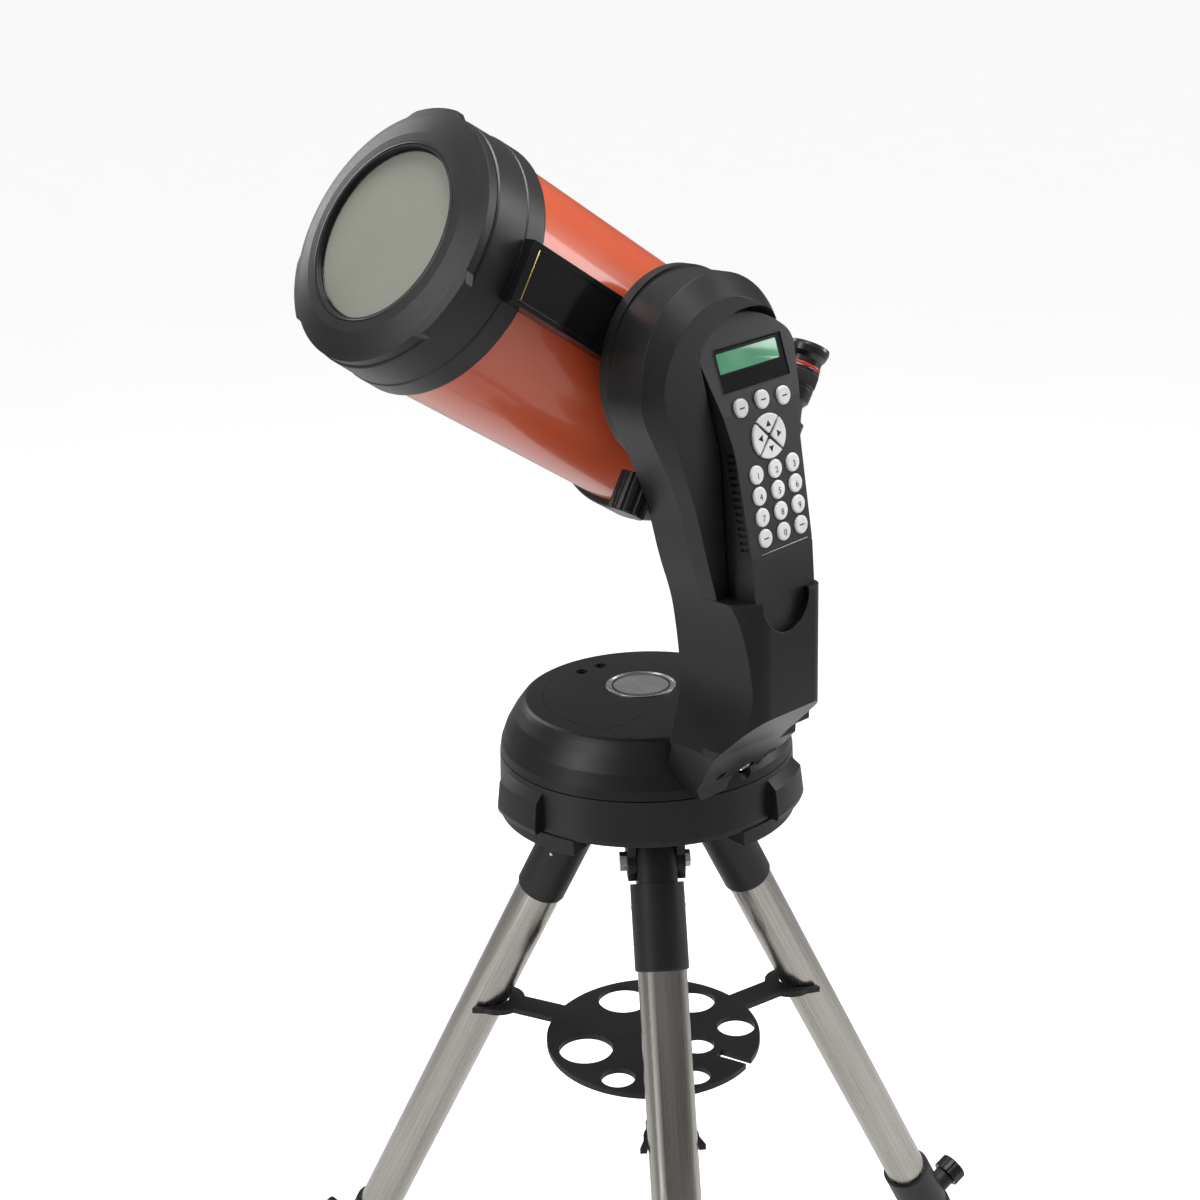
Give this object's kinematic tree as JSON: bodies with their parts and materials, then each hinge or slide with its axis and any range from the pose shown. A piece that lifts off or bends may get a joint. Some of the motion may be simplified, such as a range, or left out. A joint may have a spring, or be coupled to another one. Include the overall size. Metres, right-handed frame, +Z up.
{
  "type": "schmidt-cassegrain telescope",
  "caption": "Compact catadioptric telescope on a one-arm motorised fork with a docked hand control, standing on a folding steel tripod with an accessory tray.",
  "frame": {"origin": "on the floor, on the azimuth axis of the mount", "axes": "+Z up along the azimuth axis; +X along the altitude axis towards the fork arm; the tube points to -Y and 31.76 degrees up at rest"},
  "size_m": [0.8499, 0.8132, 1.3767],
  "materials": {
    "black_satin_plastic": "fine-textured satin black",
    "cast_black": "satin black paint on cast metal",
    "orange_paint": "gloss orange paint",
    "brushed_steel": "brushed stainless",
    "bright_steel": "bright plated",
    "black_anodised": "black anodised",
    "silver_disc": "spun satin silver",
    "gear_metal": "machined",
    "filter_film": "grey coated film, opaque",
    "lens_glass": "clear coated",
    "mirror_coat": "polished",
    "foot_rubber": "moulded rubber",
    "key_white": "soft pale key",
    "lcd": "green display"
  },
  "bodies": {
    "tripod_top": {"tripod_head": "cast_black", "leg_pivot_bolts": "bright_steel", "centre_rod": "black_anodised", "mounting_bolts": "bright_steel", "base_ring": "cast_black", "azimuth_gear": "gear_metal"},
    "leg_1": {"leg_1_tube": "brushed_steel", "leg_1_fittings": "black_satin_plastic"},
    "leg_1_lower": {"leg_1_extension": "brushed_steel", "leg_1_foot": "foot_rubber"},
    "leg_1_clamp": {"leg_1_knob": "black_satin_plastic"},
    "leg_2": {"leg_2_tube": "brushed_steel", "leg_2_fittings": "black_satin_plastic"},
    "leg_2_lower": {"leg_2_extension": "brushed_steel", "leg_2_foot": "foot_rubber"},
    "leg_2_clamp": {"leg_2_knob": "black_satin_plastic"},
    "leg_3": {"leg_3_tube": "brushed_steel", "leg_3_fittings": "black_satin_plastic"},
    "leg_3_lower": {"leg_3_extension": "brushed_steel", "leg_3_foot": "foot_rubber"},
    "leg_3_clamp": {"leg_3_knob": "black_satin_plastic"},
    "tray": {"accessory_tray": "black_satin_plastic"},
    "tray_nut": {"tray_knob": "black_satin_plastic"},
    "fork": {"base_shell": "black_satin_plastic", "port_sockets": "black_satin_plastic", "drive_motors": "black_satin_plastic", "fork_arm_inner": "black_satin_plastic", "fork_arm_outer": "black_satin_plastic"},
    "azimuth_drive": {"azimuth_pinion": "gear_metal"},
    "deck_lid": {"battery_cover": "black_satin_plastic", "deck_badge": "silver_disc"},
    "switch": {"power_switch": "black_satin_plastic"},
    "altitude_axis": {"altitude_gear": "gear_metal", "saddle": "black_anodised"},
    "altitude_drive": {"altitude_pinion": "gear_metal"},
    "saddle_clamp": {"saddle_knob": "black_satin_plastic"},
    "tube": {"optical_tube": "orange_paint", "front_cell": "black_anodised", "rear_cell": "black_anodised", "dovetail_bar": "black_anodised", "corrector_plate": "lens_glass", "secondary_mirror": "black_anodised", "visual_back": "black_anodised"},
    "focuser": {"focus_knob": "black_satin_plastic"},
    "mirror": {"primary_mirror": "mirror_coat"},
    "filter": {"filter_cap": "black_satin_plastic", "filter_film": "filter_film"},
    "diagonal": {"star_diagonal": "black_anodised"},
    "eyepiece": {"eyepiece": "black_anodised"},
    "handset": {"handset_case": "black_satin_plastic", "handset_back": "black_satin_plastic", "handset_screen": "lcd"},
    "key_left_body": {"key_left": "key_white"},
    "key_middle_body": {"key_middle": "key_white"},
    "key_right_body": {"key_right": "key_white"},
    "arrow_up_body": {"arrow_up": "key_white"},
    "arrow_left_body": {"arrow_left": "key_white"},
    "arrow_down_body": {"arrow_down": "key_white"},
    "arrow_right_body": {"arrow_right": "key_white"},
    "number_keys_body": {"number_keys": "key_white"}
  },
  "joints": [
    {"name": "leg_1_fold", "type": "hinge", "parent": "tripod_top", "child": "leg_1", "pos_m": [0.04792, -0.04028, 0.801], "axis": [0.6435, 0.7655, 0], "range_deg": [0, 4.5]},
    {"name": "leg_1_extend", "type": "slide", "parent": "leg_1", "child": "leg_1_lower", "axis": [0.3485, -0.2929, -0.8904], "range_m": [0, 0.36]},
    {"name": "leg_1_clamp_turn", "type": "hinge", "parent": "leg_1", "child": "leg_1_clamp", "pos_m": [0.26212, -0.22033, 0.31961], "axis": [0.6816, -0.5729, 0.4552], "range_deg": [0, 360]},
    {"name": "leg_2_fold", "type": "hinge", "parent": "tripod_top", "child": "leg_2", "pos_m": [0.01092, 0.06164, 0.801], "axis": [-0.9847, 0.1745, 0], "range_deg": [0, 4.5]},
    {"name": "leg_2_extend", "type": "slide", "parent": "leg_2", "child": "leg_2_lower", "axis": [0.0794, 0.4482, -0.8904], "range_m": [0, 0.36]},
    {"name": "leg_2_clamp_turn", "type": "hinge", "parent": "leg_2", "child": "leg_2_clamp", "pos_m": [0.05976, 0.33717, 0.31961], "axis": [0.1554, 0.8767, 0.4552], "range_deg": [0, 360]},
    {"name": "leg_3_fold", "type": "hinge", "parent": "tripod_top", "child": "leg_3", "pos_m": [-0.05884, -0.02136, 0.801], "axis": [0.3412, -0.94, 0], "range_deg": [0, 4.5]},
    {"name": "leg_3_extend", "type": "slide", "parent": "leg_3", "child": "leg_3_lower", "axis": [-0.4279, -0.1553, -0.8904], "range_m": [0, 0.36]},
    {"name": "leg_3_clamp_turn", "type": "hinge", "parent": "leg_3", "child": "leg_3_clamp", "pos_m": [-0.32187, -0.11683, 0.31961], "axis": [-0.8369, -0.3038, 0.4552], "range_deg": [0, 360]},
    {"name": "tray_drop", "type": "slide", "parent": "tripod_top", "child": "tray", "axis": [0, 0, -1], "range_m": [0, 0.046]},
    {"name": "tray_knob_turn", "type": "hinge", "parent": "tray", "child": "tray_nut", "pos_m": [0, 0, 0.598], "axis": [0, 0, 1], "continuous": true},
    {"name": "azimuth", "type": "hinge", "parent": "tripod_top", "child": "fork", "pos_m": [0, 0, 0.878], "axis": [0, 0, 1], "continuous": true},
    {"name": "azimuth_pinion_spin", "type": "hinge", "parent": "fork", "child": "azimuth_drive", "pos_m": [-0.04933, 0.01796, 0.851], "axis": [0, 0, 1], "continuous": true},
    {"name": "battery_cover_lift", "type": "slide", "parent": "fork", "child": "deck_lid", "axis": [0, 0, 1], "range_m": [0, 0.03]},
    {"name": "power_switch_rock", "type": "hinge", "parent": "fork", "child": "switch", "pos_m": [0.11609, 0.013, 0.8973], "axis": [0, 1, 0], "range_deg": [-6, 6]},
    {"name": "altitude", "type": "hinge", "parent": "fork", "child": "altitude_axis", "pos_m": [0.11, -0.06437, 1.20165], "axis": [-1, 0, 0], "range_deg": [-41.76, 50]},
    {"name": "altitude_pinion_spin", "type": "hinge", "parent": "fork", "child": "altitude_drive", "pos_m": [0.117, -0.04814, 1.15172], "axis": [-1, 0, 0], "range_deg": [-301, 252]},
    {"name": "saddle_knob_turn", "type": "hinge", "parent": "altitude_axis", "child": "saddle_clamp", "pos_m": [0.0942, -0.09958, 1.11759], "axis": [0, -0.5264, -0.8503], "range_deg": [0, 360]},
    {"name": "tube_balance_slide", "type": "slide", "parent": "altitude_axis", "child": "tube", "axis": [0, -0.8503, 0.5264], "range_m": [-0.01, 0.03]},
    {"name": "focus_turn", "type": "hinge", "parent": "tube", "child": "focuser", "pos_m": [0.042, 0.11904, 1.08811], "axis": [0, 0.8503, -0.5264], "range_deg": [-1921, 1921]},
    {"name": "mirror_slide", "type": "slide", "parent": "tube", "child": "mirror", "axis": [0, -0.8503, 0.5264], "range_m": [-0.004, 0.004]},
    {"name": "filter_cap_off", "type": "slide", "parent": "tube", "child": "filter", "axis": [0, -0.8503, 0.5264], "range_m": [0, 0.08]},
    {"name": "diagonal_turn", "type": "hinge", "parent": "tube", "child": "diagonal", "pos_m": [0, 0.12754, 1.08285], "axis": [0, -0.8503, 0.5264], "continuous": true},
    {"name": "eyepiece_slide", "type": "slide", "parent": "diagonal", "child": "eyepiece", "axis": [0, 0.5264, 0.8503], "range_m": [0, 0.03]},
    {"name": "handset_lift", "type": "slide", "parent": "fork", "child": "handset", "axis": [-0.139, -0.0436, 0.9893], "range_m": [0, 0.003]},
    {"name": "key_left_press", "type": "slide", "parent": "handset", "child": "key_left_body", "axis": [-0.9903, 0, -0.1392], "range_m": [0, 0.001]},
    {"name": "key_middle_press", "type": "slide", "parent": "handset", "child": "key_middle_body", "axis": [-0.9903, 0, -0.1392], "range_m": [0, 0.001]},
    {"name": "key_right_press", "type": "slide", "parent": "handset", "child": "key_right_body", "axis": [-0.9903, 0, -0.1392], "range_m": [0, 0.001]},
    {"name": "arrow_up_press", "type": "slide", "parent": "handset", "child": "arrow_up_body", "axis": [-0.9903, 0, -0.1392], "range_m": [0, 0.001]},
    {"name": "arrow_left_press", "type": "slide", "parent": "handset", "child": "arrow_left_body", "axis": [-0.9903, 0, -0.1392], "range_m": [0, 0.001]},
    {"name": "arrow_down_press", "type": "slide", "parent": "handset", "child": "arrow_down_body", "axis": [-0.9903, 0, -0.1392], "range_m": [0, 0.001]},
    {"name": "arrow_right_press", "type": "slide", "parent": "handset", "child": "arrow_right_body", "axis": [-0.9903, 0, -0.1392], "range_m": [0, 0.001]},
    {"name": "number_keys_press", "type": "slide", "parent": "handset", "child": "number_keys_body", "axis": [-0.9903, 0, -0.1392], "range_m": [0, 0.001]}
  ],
  "couplings": [
    {"joint": "leg_2_fold", "follows": "leg_1_fold", "ratio": 1},
    {"joint": "leg_3_fold", "follows": "leg_1_fold", "ratio": 1},
    {"joint": "tray_drop", "follows": "leg_1_fold", "m_per_rad": 0.5852},
    {"joint": "azimuth_pinion_spin", "follows": "azimuth", "ratio": 6},
    {"joint": "altitude_pinion_spin", "follows": "altitude", "ratio": -6},
    {"joint": "focus_turn", "follows": "mirror_slide", "rad_per_m": 8377.6}
  ]
}
